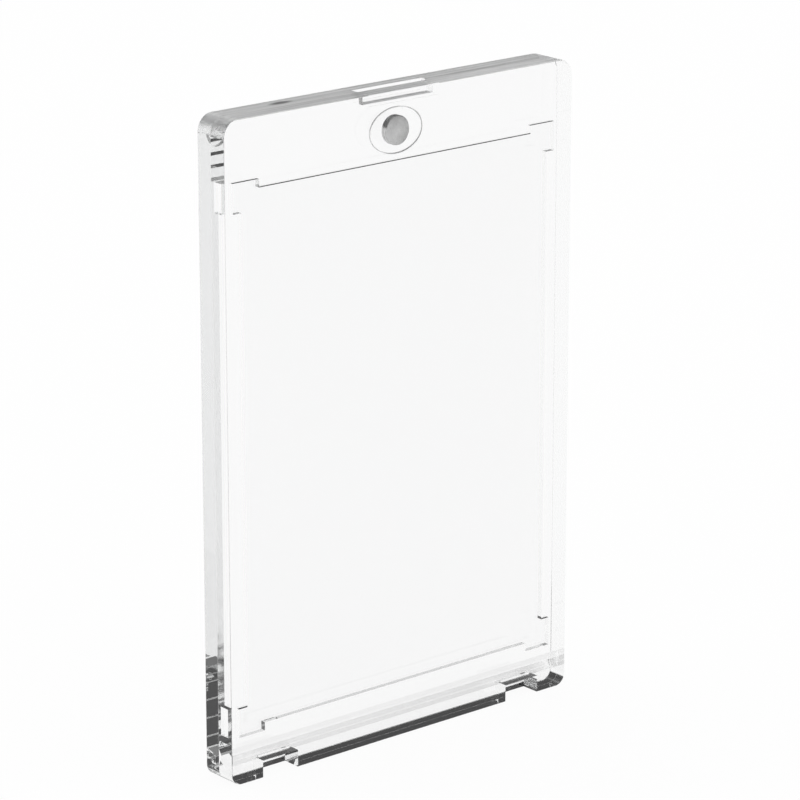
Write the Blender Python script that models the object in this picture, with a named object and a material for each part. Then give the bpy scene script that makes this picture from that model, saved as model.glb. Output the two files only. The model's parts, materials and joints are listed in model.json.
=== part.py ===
"""Clear two-part card holder that closes on a pair of magnets.

Lengths are in metres. X is the width, Y the depth with the front at -Y, and Z is up.
The origin is the middle of the bottom edge, on which the closed holder stands.
The front cover is the lid. It swings on the heel line, where the gap between the covers
meets the bottom, and two hooks on it catch behind sills in the rear cover.
"""

import math

import bmesh
import bpy

# The card and the pocket that it lies in
CARD_WIDTH = 0.0635
CARD_HEIGHT = 0.0889
CARD_CLEARANCE = 0.0003
POCKET_DEPTH = 0.0009

# Reliefs that keep the card's corners free
RELIEF_REACH = 0.00355
RELIEF_SIDE = 0.0017
RELIEF_END = 0.0014

# The frame of plastic round the pocket
SIDE_MARGIN = 0.00435
BOTTOM_MARGIN = 0.00885
TOP_MARGIN = 0.01195
BOTTOM_CORNER_RADIUS = 0.002
TOP_CORNER_RADIUS = 0.0028
RIM_CHAMFER = 0.00025

# The covers, and the gap between them
FRONT_WALL = 0.0024
REAR_THICKNESS = 0.0032
PARTING_GAP = 0.0003

# The slot in the top edge, where a coin or a nail parts the covers
PRY_SLOT_LENGTH = 0.0147
PRY_SLOT_DEPTH = 0.0019
PRY_SLOT_IN_FRONT = 0.0005
PRY_SLOT_IN_REAR = 0.0008

# The magnets and their seats
MAGNET_RADIUS = 0.00245
MAGNET_FROM_TOP = 0.0071
FRONT_MAGNET_THICKNESS = 0.001
REAR_MAGNET_THICKNESS = 0.001
MAGNET_CHAMFER = 0.00015
MAGNET_CLEARANCE = 0.0003

# The oval boss that carries the front magnet and centres the covers
BOSS_HALF_WIDTH = 0.00535
BOSS_HALF_HEIGHT = 0.00365
BOSS_HEIGHT = 0.00055
BOSS_CLEARANCE = 0.0003

# The notches in the front cover's bottom edge, which hold the hooks
NOTCH_WIDTH = 0.0073
NOTCH_HEIGHT = 0.003
NOTCH_FROM_SIDE = 0.00635

# The hooks: a leg from the notch's ceiling, and a toe that reaches back from the heel line
HOOK_SIDE_GAP = 0.0004
HOOK_LEG_THICKNESS = 0.0006
HOOK_LEG_LENGTH = 0.0013
HOOK_THROAT = 0.0011
HOOK_REACH = 0.0018
HOOK_DROP = 0.00225
HOOK_TIP_CORNER = 0.0003
HOOK_BACK_HEIGHT = 0.0011
HOOK_FALL = 0.0006
HOOK_CLEARANCE = 0.0003

# The shallow groove along the heel, in the front cover's inner face
GROOVE_LOW = 0.00265
GROOVE_LONG_SIDE = 0.002
GROOVE_SHORT_SIDE = 0.001
GROOVE_DEPTH = 0.0006

# How far a cut runs past the face that it opens, and how deep a joined piece is rooted
OVERRUN = 0.001
ROOT = 0.0002

# Steps along round stretches
CORNER_STEPS = 8
RING_STEPS = 48
SWING_STEPS = 6

# Overall sizes and the planes of the covers
pocket_width = CARD_WIDTH + 2 * CARD_CLEARANCE
pocket_height = CARD_HEIGHT + 2 * CARD_CLEARANCE
holder_width = pocket_width + 2 * SIDE_MARGIN
holder_height = BOTTOM_MARGIN + pocket_height + TOP_MARGIN
front_thickness = FRONT_WALL + POCKET_DEPTH
holder_depth = front_thickness + PARTING_GAP + REAR_THICKNESS
front_y = -holder_depth / 2
front_inner_y = front_y + front_thickness
heel_y = front_inner_y + PARTING_GAP / 2
rear_inner_y = front_inner_y + PARTING_GAP
rear_y = holder_depth / 2
pocket_top = BOTTOM_MARGIN + pocket_height
magnet_z = holder_height - MAGNET_FROM_TOP
boss_y = front_inner_y + BOSS_HEIGHT
recess_y = rear_inner_y + BOSS_HEIGHT

# The hooks
notch_centre = holder_width / 2 - NOTCH_FROM_SIDE - NOTCH_WIDTH / 2
hook_half_width = NOTCH_WIDTH / 2 - HOOK_SIDE_GAP
hook_tip = NOTCH_HEIGHT - HOOK_DROP
hook_under = math.hypot(HOOK_THROAT, hook_tip)
hook_back = hook_tip + HOOK_BACK_HEIGHT
hook_slope = HOOK_FALL / HOOK_REACH


def clear_scene():
    for old in list(bpy.data.objects):
        bpy.data.objects.remove(old, do_unlink=True)


def material(name, colour, roughness, metallic, transmission=0.0):
    made = bpy.data.materials.new(name)
    made.use_nodes = True
    shader = made.node_tree.nodes["Principled BSDF"]
    shader.inputs["Base Color"].default_value = (*colour, 1.0)
    shader.inputs["Roughness"].default_value = roughness
    shader.inputs["Metallic"].default_value = metallic
    shader.inputs["Transmission Weight"].default_value = transmission
    made.diffuse_color = (*colour, 1.0)
    return made


def solid_from(bm, name, parent):
    """Make an object whose origin is its parent's, and shade it smooth but for its sharp edges."""
    bmesh.ops.recalc_face_normals(bm, faces=bm.faces[:])
    mesh = bpy.data.meshes.new(name)
    bm.to_mesh(mesh)
    bm.free()
    mesh.shade_smooth()
    mesh.set_sharp_from_angle(angle=math.radians(30))
    made = bpy.data.objects.new(name, mesh)
    bpy.context.scene.collection.objects.link(made)
    made.parent = parent
    return made


def prism(outline, along, start, end):
    """Extrude an outline from start to end along X or Y; its points are in the other two axes."""
    bm = bmesh.new()
    if along == "X":
        corners = [bm.verts.new((start, first, second)) for first, second in outline]
        step = (end - start, 0, 0)
    else:
        corners = [bm.verts.new((first, start, second)) for first, second in outline]
        step = (0, end - start, 0)
    face = bm.faces.new(corners)
    grown = bmesh.ops.extrude_face_region(bm, geom=[face])["geom"]
    moved = [item for item in grown if isinstance(item, bmesh.types.BMVert)]
    bmesh.ops.translate(bm, verts=moved, vec=step)
    return bm


def extruded(name, outline, along, start, end, parent):
    return solid_from(prism(outline, along, start, end), name, parent)


def rectangle(left, right, low, high):
    return [(left, low), (right, low), (right, high), (left, high)]


def rounded_rectangle(half_width, height, low_radius, high_radius):
    """Outline in X and Z of a cover that stands on Z = 0."""
    centres = (
        (half_width - low_radius, low_radius, low_radius, -90),
        (half_width - high_radius, height - high_radius, high_radius, 0),
        (high_radius - half_width, height - high_radius, high_radius, 90),
        (low_radius - half_width, low_radius, low_radius, 180),
    )
    outline = []
    for x, z, radius, start in centres:
        for step in range(CORNER_STEPS + 1):
            turn = math.radians(start + 90 * step / CORNER_STEPS)
            outline.append((x + radius * math.cos(turn), z + radius * math.sin(turn)))
    return outline


def oval(half_width, half_height, centre_z):
    turns = [math.tau * step / RING_STEPS for step in range(RING_STEPS)]
    return [(half_width * math.cos(t), centre_z + half_height * math.sin(t)) for t in turns]


def combine(target, other, operation):
    """Join a piece to the target or cut it out, with the other piece left as a hidden guide."""
    change = target.modifiers.new(other.name, "BOOLEAN")
    change.operation = operation
    change.solver = "EXACT"
    change.object = other
    other.hide_render = True
    other.display_type = "WIRE"


def cover_plate(name, inner_y, outer_y, parent, shift):
    """A flat cover with round corners, chamfered round its outer face and sharp round its inner."""
    radii = (BOTTOM_CORNER_RADIUS, TOP_CORNER_RADIUS)
    outline = rounded_rectangle(holder_width / 2, holder_height, *radii)
    bm = prism(outline, "Y", outer_y - shift, inner_y - shift)
    middle = (inner_y + outer_y) / 2 - shift
    outward = 1 if outer_y > inner_y else -1
    outer_edges = [e for e in bm.edges if all((v.co.y - middle) * outward > 0 for v in e.verts)]
    bmesh.ops.bevel(
        bm,
        geom=outer_edges,
        affect="EDGES",
        offset=RIM_CHAMFER,
        segments=1,
        profile=0.5,
        material=-1,
    )
    return solid_from(bm, name, parent)


def hinge_empty():
    """The heel line, on which the lid swings."""
    empty = bpy.data.objects.new("heel_line", None)
    empty.location = (0, heel_y, 0)
    bpy.context.scene.collection.objects.link(empty)
    return empty


def add_card_pocket(cover, parent, shift):
    """The card's pocket, and a relief at each of its corners, open on the inner face."""
    floor = front_y + FRONT_WALL - shift
    mouth = front_inner_y + OVERRUN - shift
    outline = rectangle(-pocket_width / 2, pocket_width / 2, BOTTOM_MARGIN, pocket_top)
    combine(cover, extruded("card_pocket", outline, "Y", floor, mouth, parent), "DIFFERENCE")
    for side in (-1, 1):
        for end, corner_z in ((-1, BOTTOM_MARGIN), (1, pocket_top)):
            across = [
                side * (pocket_width / 2 - RELIEF_REACH),
                side * (pocket_width / 2 + RELIEF_SIDE),
            ]
            along = [corner_z - end * RELIEF_REACH, corner_z + end * RELIEF_END]
            outline = rectangle(min(across), max(across), min(along), max(along))
            relief = extruded("corner_relief", outline, "Y", floor, mouth, parent)
            combine(cover, relief, "DIFFERENCE")


def add_pry_slot(cover, depth_start, depth_end, parent):
    half = PRY_SLOT_LENGTH / 2
    outline = rectangle(-half, half, holder_height - PRY_SLOT_DEPTH, holder_height + OVERRUN)
    slot = extruded("pry_slot", outline, "Y", depth_start, depth_end, parent)
    combine(cover, slot, "DIFFERENCE")


def groove_profile(face_y):
    """Two slopes in Y and Z, cut into a face at face_y from behind, the long one below."""
    long_run = ROOT * GROOVE_LONG_SIDE / GROOVE_DEPTH
    short_run = ROOT * GROOVE_SHORT_SIDE / GROOVE_DEPTH
    deepest = GROOVE_LOW + GROOVE_LONG_SIDE
    return [
        (face_y + ROOT, GROOVE_LOW - long_run),
        (face_y - GROOVE_DEPTH, deepest),
        (face_y + ROOT, deepest + GROOVE_SHORT_SIDE + short_run),
    ]


def add_hooks(cover, inner, front, parent):
    """A notch in the bottom edge, and a hook that hangs from its ceiling, on either side."""
    leg = inner - HOOK_LEG_THICKNESS
    hook = [
        (leg, NOTCH_HEIGHT + ROOT),
        (leg, NOTCH_HEIGHT - HOOK_LEG_LENGTH),
        (inner, hook_under),
        (HOOK_THROAT, hook_under),
        (HOOK_THROAT, hook_tip),
        (HOOK_REACH - HOOK_TIP_CORNER, hook_tip),
        (HOOK_REACH, hook_tip + HOOK_TIP_CORNER),
        (HOOK_REACH, hook_back),
        (inner, hook_back + hook_slope * (HOOK_REACH - inner)),
        (inner, NOTCH_HEIGHT + ROOT),
    ]
    notch = rectangle(front - OVERRUN, inner + OVERRUN, -OVERRUN, NOTCH_HEIGHT)
    for side in (-1, 1):
        middle = side * notch_centre
        ends = (middle - NOTCH_WIDTH / 2, middle + NOTCH_WIDTH / 2)
        combine(cover, extruded("notch", notch, "X", *ends, parent), "DIFFERENCE")
        ends = (middle - hook_half_width, middle + hook_half_width)
        combine(cover, extruded("hook", hook, "X", *ends, parent), "UNION")


def front_cover(parent):
    """The lid: a plate with the card's pocket, the boss, the heel groove, notches and hooks."""
    shift = heel_y
    inner = front_inner_y - shift
    cover = cover_plate("front_cover", front_inner_y, front_y, parent, shift)
    add_card_pocket(cover, parent, shift)
    add_pry_slot(cover, inner - PRY_SLOT_IN_FRONT, inner + OVERRUN, parent)

    outline = oval(BOSS_HALF_WIDTH, BOSS_HALF_HEIGHT, magnet_z)
    boss = extruded("magnet_boss", outline, "Y", inner - ROOT, boss_y - shift, parent)
    combine(cover, boss, "UNION")
    seat_radius = MAGNET_RADIUS + MAGNET_CLEARANCE
    seat_floor = boss_y - FRONT_MAGNET_THICKNESS - MAGNET_CLEARANCE - shift
    outline = oval(seat_radius, seat_radius, magnet_z)
    seat = extruded("front_seat", outline, "Y", seat_floor, boss_y + OVERRUN - shift, parent)
    combine(cover, seat, "DIFFERENCE")

    half = holder_width / 2 + OVERRUN
    groove = extruded("heel_groove", groove_profile(inner), "X", -half, half, parent)
    combine(cover, groove, "DIFFERENCE")
    add_hooks(cover, inner, front_y - shift, parent)
    return cover


def hook_room():
    """Outline in Y and Z, from the heel line, that clears a hook as the lid swings out."""
    catch = hook_under - HOOK_CLEARANCE
    sweep = math.hypot(HOOK_REACH, hook_back) + HOOK_CLEARANCE
    ceiling = sweep * math.hypot(1, hook_slope)
    floor = hook_tip - HOOK_CLEARANCE
    back = HOOK_REACH + HOOK_CLEARANCE
    low_turn = math.asin(floor / catch)
    outline = [(-OVERRUN, ceiling + hook_slope * OVERRUN), (-OVERRUN, catch)]
    for step in range(SWING_STEPS + 1):
        turn = math.pi / 2 + (low_turn - math.pi / 2) * step / SWING_STEPS
        outline.append((catch * math.cos(turn), catch * math.sin(turn)))
    outline.append((back, floor))
    outline.append((back, ceiling - hook_slope * back))
    return outline


def rear_cover():
    """The back: a plate with the oval recess and, over two sills, the rooms for the hooks."""
    cover = cover_plate("rear_cover", rear_inner_y, rear_y, None, 0)
    add_pry_slot(cover, rear_inner_y - OVERRUN, rear_inner_y + PRY_SLOT_IN_REAR, None)

    half_width = BOSS_HALF_WIDTH + BOSS_CLEARANCE
    half_height = BOSS_HALF_HEIGHT + BOSS_CLEARANCE
    outline = oval(half_width, half_height, magnet_z)
    recess = extruded("boss_recess", outline, "Y", rear_inner_y - OVERRUN, recess_y, None)
    combine(cover, recess, "DIFFERENCE")
    seat_radius = MAGNET_RADIUS + MAGNET_CLEARANCE
    seat_floor = recess_y + REAR_MAGNET_THICKNESS + MAGNET_CLEARANCE
    outline = oval(seat_radius, seat_radius, magnet_z)
    seat = extruded("rear_seat", outline, "Y", rear_inner_y - OVERRUN, seat_floor, None)
    combine(cover, seat, "DIFFERENCE")

    outline = [(heel_y + y, z) for y, z in hook_room()]
    for side in (-1, 1):
        half = hook_half_width + HOOK_CLEARANCE
        ends = (side * notch_centre - half, side * notch_centre + half)
        room = extruded("hook_room", outline, "X", *ends, None)
        combine(cover, room, "DIFFERENCE")
    return cover


def magnet(name, start_y, thickness, parent):
    """A plated disc with a small chamfer round both faces, axis along Y."""
    outline = oval(MAGNET_RADIUS, MAGNET_RADIUS, magnet_z)
    disc = extruded(name, outline, "Y", start_y, start_y + thickness, parent)
    chamfer = disc.modifiers.new("rim_chamfer", "BEVEL")
    chamfer.width = MAGNET_CHAMFER
    chamfer.segments = 1
    chamfer.limit_method = "ANGLE"
    chamfer.angle_limit = math.radians(60)
    return disc


def build():
    clear_scene()
    heel = hinge_empty()

    lid = front_cover(heel)
    lid.data.materials.append(material("clear_front", (0.94, 0.95, 0.95), 0.04, 0.0, 1.0))

    back = rear_cover()
    back.data.materials.append(material("clear_rear", (0.92, 0.93, 0.93), 0.05, 0.0, 1.0))

    start = boss_y - FRONT_MAGNET_THICKNESS - heel_y
    upper = magnet("front_magnet", start, FRONT_MAGNET_THICKNESS, heel)
    upper.data.materials.append(material("nickel_front", (0.68, 0.68, 0.69), 0.32, 1.0))

    lower = magnet("rear_magnet", recess_y, REAR_MAGNET_THICKNESS, None)
    lower.data.materials.append(material("nickel_rear", (0.60, 0.60, 0.61), 0.38, 1.0))


build()
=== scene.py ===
import json
import math

import bmesh
import bpy
from mathutils import Matrix, Vector


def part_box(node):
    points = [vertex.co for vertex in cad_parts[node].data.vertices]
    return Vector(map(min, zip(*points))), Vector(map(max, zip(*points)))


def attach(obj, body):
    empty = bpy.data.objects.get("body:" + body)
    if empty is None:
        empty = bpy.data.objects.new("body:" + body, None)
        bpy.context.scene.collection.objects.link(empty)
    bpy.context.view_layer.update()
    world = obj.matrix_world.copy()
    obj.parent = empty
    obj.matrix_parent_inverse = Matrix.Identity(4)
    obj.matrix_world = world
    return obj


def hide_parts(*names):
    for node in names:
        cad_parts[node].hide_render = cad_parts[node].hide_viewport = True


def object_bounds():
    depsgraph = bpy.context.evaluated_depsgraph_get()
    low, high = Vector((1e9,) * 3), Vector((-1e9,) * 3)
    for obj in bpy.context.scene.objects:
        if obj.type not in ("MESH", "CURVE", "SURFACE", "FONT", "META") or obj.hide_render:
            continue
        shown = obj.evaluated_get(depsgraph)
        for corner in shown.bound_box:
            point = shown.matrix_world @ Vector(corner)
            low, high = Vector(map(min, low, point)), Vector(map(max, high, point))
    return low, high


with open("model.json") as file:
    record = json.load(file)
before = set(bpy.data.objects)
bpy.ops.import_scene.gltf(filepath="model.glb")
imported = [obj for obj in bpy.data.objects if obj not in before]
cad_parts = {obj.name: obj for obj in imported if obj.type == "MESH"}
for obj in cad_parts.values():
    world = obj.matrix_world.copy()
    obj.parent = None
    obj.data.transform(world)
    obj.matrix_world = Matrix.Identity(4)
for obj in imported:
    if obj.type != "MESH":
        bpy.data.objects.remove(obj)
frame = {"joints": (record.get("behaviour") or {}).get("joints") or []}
cad_low, cad_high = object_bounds()

# Front cover
# The lid: a clear moulding with the card's pocket, a relief at each of its corners, half of the
# pry slot, an oval boss for its magnet, a shallow groove along the heel, and two hooks that hang
# from the notches' ceilings and catch behind the rear cover's sills.
holder_half = cad_high.x
holder_height = cad_high.z
front_y = cad_low.y
heel_y = frame["joints"][0]["pos_m"][1]
bottom_radius = 0.002
top_radius = 0.0028
corner_steps = 24
rim_steps = 5
parting_half = 0.00001
overrun = 0.001
quarter_turn = Matrix.Rotation(math.pi / 2, 3, "X")
front_inner = heel_y - parting_half
front_rim = 0.00012
front_wall = 0.0025
pocket_half = 0.03205
pocket_low = 0.00885
pocket_top = 0.09835
relief_reach = 0.00355
relief_side = 0.0017
relief_end = 0.0014
slot_half = 0.00735
slot_depth = 0.0019
slot_in_front = 0.00065
slot_floor = holder_height - slot_depth
magnet_radius = 0.00245
magnet_fit = -0.00002
magnet_low, magnet_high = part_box("front_magnet")
magnet_z = (magnet_low.z + magnet_high.z) / 2
ring_steps = 96
ring_rim = 0.00012
boss_half_width = 0.00545
boss_half_height = 0.00378
boss_height = 0.0004
boss_root = 0.0002
notch_centre = 0.0264
notch_half = 0.00365
notch_height = 0.003
hook_half = 0.00325
hook_leg = 0.0006
hook_foot = 0.0017
hook_throat = 0.0011
hook_reach = 0.0018
hook_tip = 0.00075
hook_tip_corner = 0.0003
hook_back = 0.00185
hook_slope = 1 / 3
hook_root = 0.0002
groove_low = 0.00265
groove_deepest = 0.00465
groove_high = 0.00565
groove_depth = 0.0006


def shown(name, bm):
    """Turn a bmesh into an object with outward faces."""
    bmesh.ops.recalc_face_normals(bm, faces=bm.faces[:])
    mesh = bpy.data.meshes.new(name)
    bm.to_mesh(mesh)
    bm.free()
    piece = bpy.data.objects.new(name, mesh)
    bpy.context.scene.collection.objects.link(piece)
    return piece


def block_mesh(low, high):
    """A box between two corners, as a bmesh."""
    bm = bmesh.new()
    bmesh.ops.create_cube(bm, size=1)
    size = Vector(high) - Vector(low)
    middle = (Vector(high) + Vector(low)) / 2
    bmesh.ops.scale(bm, verts=bm.verts[:], vec=size)
    bmesh.ops.translate(bm, verts=bm.verts[:], vec=middle)
    return bm


def round_off(bm, edges, radius, steps):
    """Round edges off to a radius, in a number of steps."""
    bmesh.ops.bevel(
        bm,
        geom=edges,
        affect="EDGES",
        offset=radius,
        segments=steps,
        profile=0.5,
        material=-1,
    )


def block(name, low, high):
    """A box between two corners, as an object."""
    return shown(name, block_mesh(low, high))


def bar(name, outline, low_x, high_x):
    """A straight bar along X from an outline in Y and Z."""
    bm = bmesh.new()
    face = bm.faces.new([bm.verts.new((low_x, y, z)) for y, z in outline])
    grown = bmesh.ops.extrude_face_region(bm, geom=[face])["geom"]
    moved = [item for item in grown if isinstance(item, bmesh.types.BMVert)]
    bmesh.ops.translate(bm, verts=moved, vec=(high_x - low_x, 0, 0))
    return shown(name, bm)


def slug(name, half_width, half_height, centre_z, low_y, high_y, rim, steps):
    """A round or oval slug along Y, with its rim at high_y rounded off."""
    bm = bmesh.new()
    bmesh.ops.create_cone(bm, cap_ends=True, segments=steps, radius1=1, radius2=1, depth=1)
    bmesh.ops.rotate(bm, verts=bm.verts[:], cent=(0, 0, 0), matrix=quarter_turn)
    bmesh.ops.scale(bm, verts=bm.verts[:], vec=(half_width, high_y - low_y, half_height))
    middle = (0, (low_y + high_y) / 2, centre_z)
    bmesh.ops.translate(bm, verts=bm.verts[:], vec=middle)
    if rim > 0:
        middle_y = (low_y + high_y) / 2
        edges = [e for e in bm.edges if all(v.co.y > middle_y for v in e.verts)]
        round_off(bm, edges, rim, rim_steps)
    return shown(name, bm)


def change(piece, tool, operation):
    """Cut a tool out of a piece, or join it on, and delete the tool."""
    step = piece.modifiers.new(tool.name, "BOOLEAN")
    step.operation = operation
    step.solver = "EXACT"
    step.object = tool
    bpy.context.view_layer.update()
    view = bpy.context.evaluated_depsgraph_get()
    mesh = bpy.data.meshes.new_from_object(piece.evaluated_get(view))
    piece.modifiers.clear()
    piece.data = mesh
    bpy.data.objects.remove(tool, do_unlink=True)


def cover_blank(name, low_y, high_y, outer_y, rim_radius):
    """A plain cover with round corners, soft rims on its outer face and sharp inner rims."""
    bm = block_mesh((-holder_half, low_y, 0), (holder_half, high_y, holder_height))
    for radius, end_z in ((bottom_radius, 0), (top_radius, holder_height)):
        near = radius / 2
        ends = [e for e in bm.edges if all(abs(v.co.z - end_z) < near for v in e.verts)]
        across = [e for e in ends if abs(e.verts[0].co.y - e.verts[1].co.y) > near]
        round_off(bm, across, radius, corner_steps)
    middle = (low_y + high_y) / 2
    outward = outer_y - middle
    rims = [e for e in bm.edges if all((v.co.y - middle) * outward > 0 for v in e.verts)]
    round_off(bm, rims, rim_radius, rim_steps)
    return shown(name, bm)


front_cover = cover_blank("front_cover_clear", front_y, front_inner, front_y, front_rim)
pocket_floor = front_y + front_wall
mouth = front_inner + overrun
low = (-pocket_half, pocket_floor, pocket_low)
high = (pocket_half, mouth, pocket_top)
change(front_cover, block("pocket", low, high), "DIFFERENCE")
for side in (-1, 1):
    for end, corner_z in ((-1, pocket_low), (1, pocket_top)):
        across = sorted((side * (pocket_half - relief_reach), side * (pocket_half + relief_side)))
        along = sorted((corner_z - end * relief_reach, corner_z + end * relief_end))
        low = (across[0], pocket_floor, along[0])
        high = (across[1], mouth, along[1])
        change(front_cover, block("relief", low, high), "DIFFERENCE")
low = (-slot_half, front_inner - slot_in_front, slot_floor)
high = (slot_half, mouth, holder_height + overrun)
change(front_cover, block("slot", low, high), "DIFFERENCE")

boss_y = front_inner + boss_height
boss = slug(
    "boss",
    boss_half_width,
    boss_half_height,
    magnet_z,
    front_inner - boss_root,
    boss_y,
    ring_rim,
    ring_steps,
)
change(front_cover, boss, "UNION")
seat_radius = magnet_radius + magnet_fit
seat_floor = magnet_low.y - magnet_fit
seat = slug(
    "seat",
    seat_radius,
    seat_radius,
    magnet_z,
    seat_floor,
    boss_y + overrun,
    0,
    ring_steps,
)
change(front_cover, seat, "DIFFERENCE")

long_run = parting_half * (groove_deepest - groove_low) / groove_depth
short_run = parting_half * (groove_high - groove_deepest) / groove_depth
groove = [
    (heel_y, groove_low - long_run),
    (front_inner - groove_depth, groove_deepest),
    (heel_y, groove_high + short_run),
]
groove_half = holder_half + overrun
change(front_cover, bar("groove", groove, -groove_half, groove_half), "DIFFERENCE")
leg_y = front_inner - hook_leg
hook_under = math.hypot(hook_throat, hook_tip)
hook = [
    (leg_y, notch_height + hook_root),
    (leg_y, hook_foot),
    (heel_y, hook_under),
    (heel_y + hook_throat, hook_under),
    (heel_y + hook_throat, hook_tip),
    (heel_y + hook_reach - hook_tip_corner, hook_tip),
    (heel_y + hook_reach, hook_tip + hook_tip_corner),
    (heel_y + hook_reach, hook_back),
    (front_inner, hook_back + hook_slope * hook_reach),
    (front_inner, notch_height + hook_root),
]
for side in (-1, 1):
    middle = side * notch_centre
    low = (middle - notch_half, front_y - overrun, -overrun)
    high = (middle + notch_half, mouth, notch_height)
    change(front_cover, block("notch", low, high), "DIFFERENCE")
    change(front_cover, bar("hook", hook, middle - hook_half, middle + hook_half), "UNION")
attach(front_cover, "lid")
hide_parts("front_cover")

# Rear cover
# The back: a plain clear moulding with the oval recess and the seat of its magnet, the other
# half of the pry slot, and two rooms over moulded sills, in which the hooks catch and swing.
rear_y = cad_high.y
rear_inner = heel_y + parting_half
rear_rim = 0.00015
slot_in_rear = 0.00095
recess_fit = 0.0001
room_fit = 0.00015
room_steps = 6
rear_magnet_low, rear_magnet_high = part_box("rear_magnet")

recess_y = rear_inner + boss_height
rear_thickness = rear_magnet_high.y - rear_magnet_low.y
rear_cover = cover_blank("rear_cover_clear", rear_inner, rear_y, rear_y, rear_rim)
low = (-slot_half, rear_inner - overrun, slot_floor)
high = (slot_half, rear_inner + slot_in_rear, holder_height + overrun)
change(rear_cover, block("slot", low, high), "DIFFERENCE")
recess = slug(
    "recess",
    boss_half_width + recess_fit,
    boss_half_height + recess_fit,
    magnet_z,
    rear_inner - overrun,
    recess_y,
    ring_rim,
    ring_steps,
)
change(rear_cover, recess, "DIFFERENCE")
seat_floor = recess_y + rear_thickness + magnet_fit
seat = slug(
    "seat",
    seat_radius,
    seat_radius,
    magnet_z,
    rear_inner - overrun,
    seat_floor,
    0,
    ring_steps,
)
change(rear_cover, seat, "DIFFERENCE")

catch = hook_under - room_fit
sweep = math.hypot(hook_reach, hook_back) + room_fit
ceiling = sweep * math.hypot(1, hook_slope)
room_floor = hook_tip - room_fit
room_back = hook_reach + room_fit
low_turn = math.asin(room_floor / catch)
room = [(-overrun, ceiling + hook_slope * overrun), (-overrun, catch)]
for step in range(room_steps + 1):
    turn = math.pi / 2 + (low_turn - math.pi / 2) * step / room_steps
    room.append((catch * math.cos(turn), catch * math.sin(turn)))
room.append((room_back, room_floor))
room.append((room_back, ceiling - hook_slope * room_back))
room = [(heel_y + y, z) for y, z in room]
for side in (-1, 1):
    low_x = side * notch_centre - hook_half - room_fit
    high_x = side * notch_centre + hook_half + room_fit
    change(rear_cover, bar("room", room, low_x, high_x), "DIFFERENCE")
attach(rear_cover, "base")
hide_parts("rear_cover")

# Clear acrylic
# Water-white moulded acrylic, polished on its faces and faintly rubbed by handling. The top edge
# is satin with lengthwise lines and a dark patch of painted shade, the top left corner is hazy, and
# the oval's walls and the slot's floor and left end are dull; the slot's left end also has painted
# shade.
acrylic_index = 1.49
clear_tint = (0.985, 0.985, 0.985, 1)
absorbed_tint = (0.72, 0.73, 0.73, 1)
absorbed_density = 8
mask_reach = 0.00003
first_colour = 6
second_colour = 7
mixed_colour = 2
grain_detail = 3
grain_roughness = 0.6
least_share = 0.001
rub_spacing = (220, 220, 1400)
rub_turn = (0.3, 0.5, 0.2)
rub_share = 0.42
rub_tint = (0.975, 0.976, 0.977, 1)
rub_roughness = 0.012
edge_depth = 0.00015
edge_tint = (1, 1, 1, 1)
edge_roughness = 0.85
streak_spacing = (30, 1300, 300)
streak_turn = (0, 0, 0.002)
streak_share = 0.6
streak_tint = (0.1, 0.1, 0.1, 1)
# Painted shade: a dark patch on the top edge, on its rear half to the left of the slot.
shade_patch_x = -0.0215
shade_patch_y = 0.0013
shade_patch_half_length = 0.0024
shade_patch_half_width = 0.0008
shade_patch_fullness = 1.3
painted_shade_tint = (0.12, 0.12, 0.12, 1)
haze_spacing = (900, 900, 900)
haze_turn = (0.3, 0.1, 0.5)
haze_share = 0.75
haze_roughness = 0.7
haze_mottle = 0.6
dull_roughness = 0.6
oval_margin = 0.00004
oval_half_width = 0.006
oval_half_height = 0.00428
slot_end_half = 0.0015
# Painted shade on the slot's left end wall.
slot_end_painted_shade = (0.3, 0.3, 0.3, 1)
pocket_tint = (0.95, 0.951, 0.952, 1)
pocket_roughness = 0.06


def add_node(tree, kind, **settings):
    """A new node of a kind, with settings by name."""
    made = tree.nodes.new(kind)
    for key, value in settings.items():
        setattr(made, key, value)
    return made


def maths(tree, operation, first, *others):
    """Math nodes in a row, each over the result so far and the next socket or number."""
    result = first
    for other in others:
        made = add_node(tree, "ShaderNodeMath", operation=operation)
        for index, value in enumerate((result, other)):
            if isinstance(value, bpy.types.NodeSocket):
                tree.links.new(value, made.inputs[index])
            else:
                made.inputs[index].default_value = value
        result = made.outputs[0]
    return result


def within(tree, place, middle, reach):
    """A mask of where a coordinate lies less than a reach away from a middle."""
    off = maths(tree, "ABSOLUTE", maths(tree, "SUBTRACT", place, middle), 0)
    return maths(tree, "LESS_THAN", off, reach)


def blended(tree, share, first, second):
    """A colour between two, each a socket or a value, by a share that changes over the surface."""
    made = add_node(tree, "ShaderNodeMix", data_type="RGBA")
    tree.links.new(share, made.inputs["Factor"])
    for index, colour in ((first_colour, first), (second_colour, second)):
        if isinstance(colour, bpy.types.NodeSocket):
            tree.links.new(colour, made.inputs[index])
        else:
            made.inputs[index].default_value = colour
    return made.outputs[mixed_colour]


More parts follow.
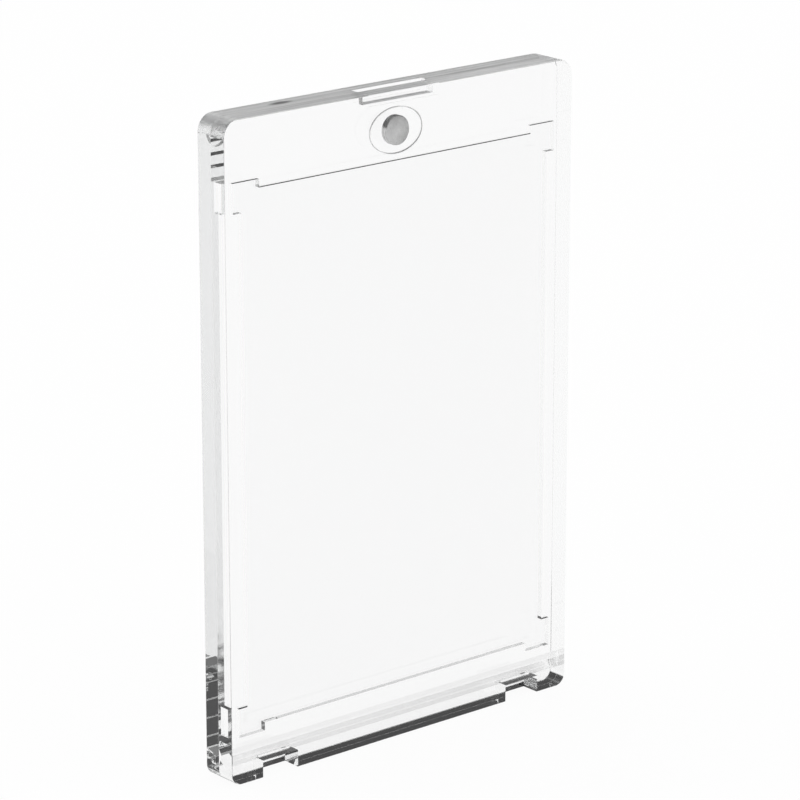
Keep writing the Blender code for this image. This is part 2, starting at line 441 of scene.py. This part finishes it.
def fine_marks_group():
    """Thin hair-like marks: a mask and a height, drawn out along one axis of Object space."""
    tree = bpy.data.node_groups.new("fine_marks", "ShaderNodeTree")
    tree.interface.new_socket("Spacing", in_out="INPUT", socket_type="NodeSocketVector")
    tree.interface.new_socket("Turn", in_out="INPUT", socket_type="NodeSocketVector")
    tree.interface.new_socket("Share", in_out="INPUT", socket_type="NodeSocketFloat")
    tree.interface.new_socket("Mask", in_out="OUTPUT", socket_type="NodeSocketFloat")
    tree.interface.new_socket("Height", in_out="OUTPUT", socket_type="NodeSocketFloat")
    start = add_node(tree, "NodeGroupInput")
    end = add_node(tree, "NodeGroupOutput")
    place = add_node(tree, "ShaderNodeTexCoord")
    drawn = add_node(tree, "ShaderNodeMapping")
    tree.links.new(place.outputs["Object"], drawn.inputs["Vector"])
    tree.links.new(start.outputs["Turn"], drawn.inputs["Rotation"])
    tree.links.new(start.outputs["Spacing"], drawn.inputs["Scale"])
    grain = add_node(tree, "ShaderNodeTexNoise")
    grain.inputs["Scale"].default_value = 1
    grain.inputs["Detail"].default_value = grain_detail
    grain.inputs["Roughness"].default_value = grain_roughness
    tree.links.new(drawn.outputs[0], grain.inputs["Vector"])
    floor_level = maths(tree, "SUBTRACT", 1, start.outputs["Share"])
    above = maths(tree, "SUBTRACT", grain.outputs["Fac"], floor_level)
    width = maths(tree, "MAXIMUM", start.outputs["Share"], least_share)
    clamp = add_node(tree, "ShaderNodeClamp")
    tree.links.new(maths(tree, "DIVIDE", above, width), clamp.inputs["Value"])
    tree.links.new(clamp.outputs[0], end.inputs["Mask"])
    tree.links.new(grain.outputs["Fac"], end.inputs["Height"])
    return tree


fine_marks = fine_marks_group()


def marks(tree, spacing, turn, share):
    """The group of fine marks with its three settings."""
    made = add_node(tree, "ShaderNodeGroup", node_tree=fine_marks)
    made.inputs["Spacing"].default_value = spacing
    made.inputs["Turn"].default_value = turn
    made.inputs["Share"].default_value = share
    return made


acrylic = bpy.data.materials.new("clear_acrylic")
acrylic.use_nodes = True
tree = acrylic.node_tree
shader = tree.nodes["Principled BSDF"]
shader.inputs["IOR"].default_value = acrylic_index
shader.inputs["Transmission Weight"].default_value = 1
rubs = marks(tree, rub_spacing, rub_turn, rub_share)
streaks = marks(tree, streak_spacing, streak_turn, streak_share)
haze = marks(tree, haze_spacing, haze_turn, haze_share)
place = add_node(tree, "ShaderNodeTexCoord")
split = add_node(tree, "ShaderNodeSeparateXYZ")
tree.links.new(place.outputs["Object"], split.inputs[0])
x = split.outputs["X"]
y = split.outputs["Y"]
z = split.outputs["Z"]

on_top = maths(tree, "GREATER_THAN", z, holder_height - mask_reach)
near_top = maths(tree, "GREATER_THAN", z, holder_height - edge_depth)
at_slot = within(tree, x, 0, slot_half + mask_reach)
off_slot = maths(tree, "SUBTRACT", 1, at_slot)
on_edge = maths(tree, "MAXIMUM", on_top, maths(tree, "MULTIPLY", near_top, off_slot))
# Mask of the patch of painted shade on the top edge.
along = maths(tree, "DIVIDE", maths(tree, "SUBTRACT", x, shade_patch_x), shade_patch_half_length)
across = maths(tree, "DIVIDE", maths(tree, "SUBTRACT", y, shade_patch_y), shade_patch_half_width)
spread = maths(tree, "ADD", maths(tree, "POWER", along, 2), maths(tree, "POWER", across, 2))
shade_patch = maths(tree, "MAXIMUM", maths(tree, "SUBTRACT", shade_patch_fullness, spread), 0)
shade_patch = maths(tree, "MULTIPLY", maths(tree, "MINIMUM", shade_patch, 1), on_top)

corner_start = holder_height - top_radius
past_corner = maths(tree, "GREATER_THAN", maths(tree, "SUBTRACT", z, x), holder_half + corner_start)
on_corner = maths(tree, "MULTIPLY", past_corner, within(tree, y, 0, rear_y - front_rim))
risen = maths(tree, "MAXIMUM", maths(tree, "SUBTRACT", z, corner_start), 0)
risen = maths(tree, "POWER", maths(tree, "DIVIDE", risen, top_radius), 2)
risen = maths(tree, "MULTIPLY", risen, haze_roughness)
mottled = maths(tree, "MULTIPLY", haze.outputs["Mask"], haze_mottle)

wall_middle = (front_inner + boss_y) / 2
wall_half = (boss_y - front_inner) / 2 - oval_margin
level_oval = within(tree, z, magnet_z, oval_half_height)
beside_oval = within(tree, x, 0, oval_half_width)
on_oval = within(tree, y, wall_middle, wall_half)
on_oval = maths(tree, "MULTIPLY", on_oval, level_oval, beside_oval)
on_slot_floor = maths(tree, "MULTIPLY", within(tree, z, slot_floor, mask_reach), at_slot)
above_floor = maths(tree, "GREATER_THAN", z, slot_floor)
on_slot_end = within(tree, x, -slot_half, mask_reach)
level_slot = within(tree, y, 0, slot_end_half)
on_slot_end = maths(tree, "MULTIPLY", on_slot_end, above_floor, level_slot)
dull = maths(tree, "MAXIMUM", on_oval, on_slot_floor, on_slot_end)
on_floor = within(tree, y, pocket_floor, mask_reach)

roughness = maths(
    tree,
    "ADD",
    maths(tree, "MULTIPLY", rubs.outputs["Mask"], rub_roughness),
    maths(tree, "MULTIPLY", on_floor, pocket_roughness),
    maths(tree, "MULTIPLY", on_edge, edge_roughness),
    maths(tree, "MULTIPLY", on_corner, maths(tree, "ADD", mottled, risen)),
    maths(tree, "MULTIPLY", dull, dull_roughness),
)
tree.links.new(roughness, shader.inputs["Roughness"])
tint = blended(tree, rubs.outputs["Mask"], clear_tint, rub_tint)
tint = blended(tree, on_floor, tint, pocket_tint)
streaked = blended(tree, streaks.outputs["Mask"], edge_tint, streak_tint)
tint = blended(tree, on_edge, tint, streaked)
# Darken the top edge's patch of painted shade.
tint = blended(tree, shade_patch, tint, painted_shade_tint)
# Darken the slot's left end wall with painted shade.
tint = blended(tree, on_slot_end, tint, slot_end_painted_shade)
tree.links.new(tint, shader.inputs["Base Color"])
depth = add_node(tree, "ShaderNodeVolumeAbsorption")
depth.inputs["Color"].default_value = absorbed_tint
depth.inputs["Density"].default_value = absorbed_density
tree.links.new(depth.outputs[0], tree.nodes["Material Output"].inputs["Volume"])
for cover in (front_cover, rear_cover):
    cover.data.materials.clear()
    cover.data.materials.append(acrylic)

# Magnets
# Two nickel-plated discs with a small chamfer, each pressed into the seat of its own cover, so
# that they meet when the lid is shut. The plating is satin, slightly cloudy, and shows the
# upright lines that lapping leaves.
magnet_chamfer = 0.00015
chamfer_steps = 3
sharp_degrees = 25
bright_tone = (0.6, 0.6, 0.6, 1)
cloudy_tone = (0.46, 0.46, 0.46, 1)
cloud_spacing = (900, 900, 700)
cloud_turn = (0.4, 0.2, 0.9)
cloud_share = 0.65
lap_spacing = (9000, 9000, 700)
lap_turn = (0, 0.15, 0)
lap_share = 0.7
lap_roughness = 0.2
lap_strength = 0.25
lap_height = 0.00001
plate_roughness = 0.25

nickel = bpy.data.materials.new("nickel_plate")
nickel.use_nodes = True
tree = nickel.node_tree
shader = tree.nodes["Principled BSDF"]
shader.inputs["Metallic"].default_value = 1
laps = marks(tree, lap_spacing, lap_turn, lap_share)
clouds = marks(tree, cloud_spacing, cloud_turn, cloud_share)
tone = blended(tree, clouds.outputs["Mask"], bright_tone, cloudy_tone)
tree.links.new(tone, shader.inputs["Base Color"])
lapped = maths(tree, "MULTIPLY", laps.outputs["Mask"], lap_roughness)
tree.links.new(maths(tree, "ADD", lapped, plate_roughness), shader.inputs["Roughness"])
bump = add_node(tree, "ShaderNodeBump")
bump.inputs["Strength"].default_value = lap_strength
bump.inputs["Distance"].default_value = lap_height
tree.links.new(laps.outputs["Height"], bump.inputs["Height"])
tree.links.new(bump.outputs[0], shader.inputs["Normal"])


def magnet(name, low_y, high_y, body, node):
    """A chamfered disc that rides on a body and replaces a CAD node."""
    piece = slug(name, magnet_radius, magnet_radius, magnet_z, low_y, high_y, 0, ring_steps)
    bm = bmesh.new()
    bm.from_mesh(piece.data)
    rims = [e for e in bm.edges if abs(e.verts[0].co.y - e.verts[1].co.y) < magnet_chamfer]
    round_off(bm, rims, magnet_chamfer, chamfer_steps)
    bm.to_mesh(piece.data)
    bm.free()
    piece.data.shade_smooth()
    piece.data.set_sharp_from_angle(angle=math.radians(sharp_degrees))
    piece.data.materials.append(nickel)
    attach(piece, body)
    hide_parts(node)


magnet("front_magnet_disc", magnet_low.y, boss_y, "lid", "front_magnet")
magnet("rear_magnet_disc", recess_y, recess_y + rear_thickness, "base", "rear_magnet")

# Studio
# A pale floor that fades into a white room. Above the horizon what glass and metal see is
# darker, which draws the edges of the clear covers, up to a soft light overhead.
camera_turn = math.radians(-40.27)
camera_pitch = math.radians(16.916)
camera_distance = 0.6602
camera_target = Vector((0.00202, 0, 0.0572))
camera_lens = 180.87
camera_clip = 0.01
level = math.cos(camera_pitch)
back = Vector((
    math.sin(camera_turn) * level,
    -math.cos(camera_turn) * level,
    math.sin(camera_pitch),
))
camera_data = bpy.data.cameras.new("camera")
camera_data.lens = camera_lens
camera_data.clip_start = camera_clip
camera = bpy.data.objects.new("camera", camera_data)
camera.location = camera_target + back * camera_distance
camera.rotation_euler = back.to_track_quat("Z", "Y").to_euler()
scene = bpy.context.scene
scene.collection.objects.link(camera)
scene.camera = camera

dark_tone = (0.025, 0.025, 0.026, 1)
overhead_tone = (0.9, 0.9, 0.9, 1)
white = (1, 1, 1, 1)
horizon_stops = ((7, white), (11, dark_tone), (45, dark_tone), (60, overhead_tone))
ramp_middle = 0.5
world = bpy.data.worlds.new("studio")
scene.world = world
world.use_nodes = True
tree = world.node_tree
direction = add_node(tree, "ShaderNodeTexCoord")
split = add_node(tree, "ShaderNodeSeparateXYZ")
tree.links.new(direction.outputs["Generated"], split.inputs[0])
ramp = add_node(tree, "ShaderNodeValToRGB")
stops = ramp.color_ramp.elements
while len(stops) < len(horizon_stops):
    stops.new(ramp_middle)
for stop, (height, colour) in zip(stops, horizon_stops):
    stop.position = ramp_middle * (1 + math.sin(math.radians(height)))
    stop.color = colour
raised = maths(tree, "ADD", split.outputs["Z"], 1)
tree.links.new(maths(tree, "MULTIPLY", raised, ramp_middle), ramp.inputs["Fac"])
path = add_node(tree, "ShaderNodeLightPath")
seen = maths(tree, "MAXIMUM", path.outputs["Is Glossy Ray"], path.outputs["Is Transmission Ray"])
tone = blended(tree, seen, white, ramp.outputs["Color"])
tree.links.new(tone, tree.nodes["Background"].inputs["Color"])

floor_half = 3
floor_gap = 0.0001
floor_tone = (0.9, 0.9, 0.9, 1)
floor_roughness = 0.9
floor_glow = 0.95
bm = bmesh.new()
bmesh.ops.create_grid(bm, x_segments=1, y_segments=1, size=floor_half)
bmesh.ops.translate(bm, verts=bm.verts[:], vec=(0, 0, -floor_gap))
floor = shown("floor", bm)
floor_paint = bpy.data.materials.new("floor")
floor_paint.use_nodes = True
tree = floor_paint.node_tree
paint = tree.nodes["Principled BSDF"]
paint.inputs["Base Color"].default_value = floor_tone
paint.inputs["Roughness"].default_value = floor_roughness
paint.inputs["Specular IOR Level"].default_value = 0
glow = add_node(tree, "ShaderNodeEmission")
path = add_node(tree, "ShaderNodeLightPath")
seen = maths(
    tree,
    "MAXIMUM",
    path.outputs["Is Glossy Ray"],
    path.outputs["Is Transmission Ray"],
    path.outputs["Is Camera Ray"],
)
mix = add_node(tree, "ShaderNodeMixShader")
tree.links.new(maths(tree, "MULTIPLY", seen, floor_glow), mix.inputs[0])
tree.links.new(paint.outputs[0], mix.inputs[1])
tree.links.new(glow.outputs[0], mix.inputs[2])
tree.links.new(mix.outputs[0], tree.nodes["Material Output"].inputs["Surface"])
floor.data.materials.append(floor_paint)

bounces = 256
scene.view_settings.view_transform = "Standard"
scene.cycles.max_bounces = bounces
scene.cycles.transmission_bounces = bounces
scene.cycles.glossy_bounces = bounces
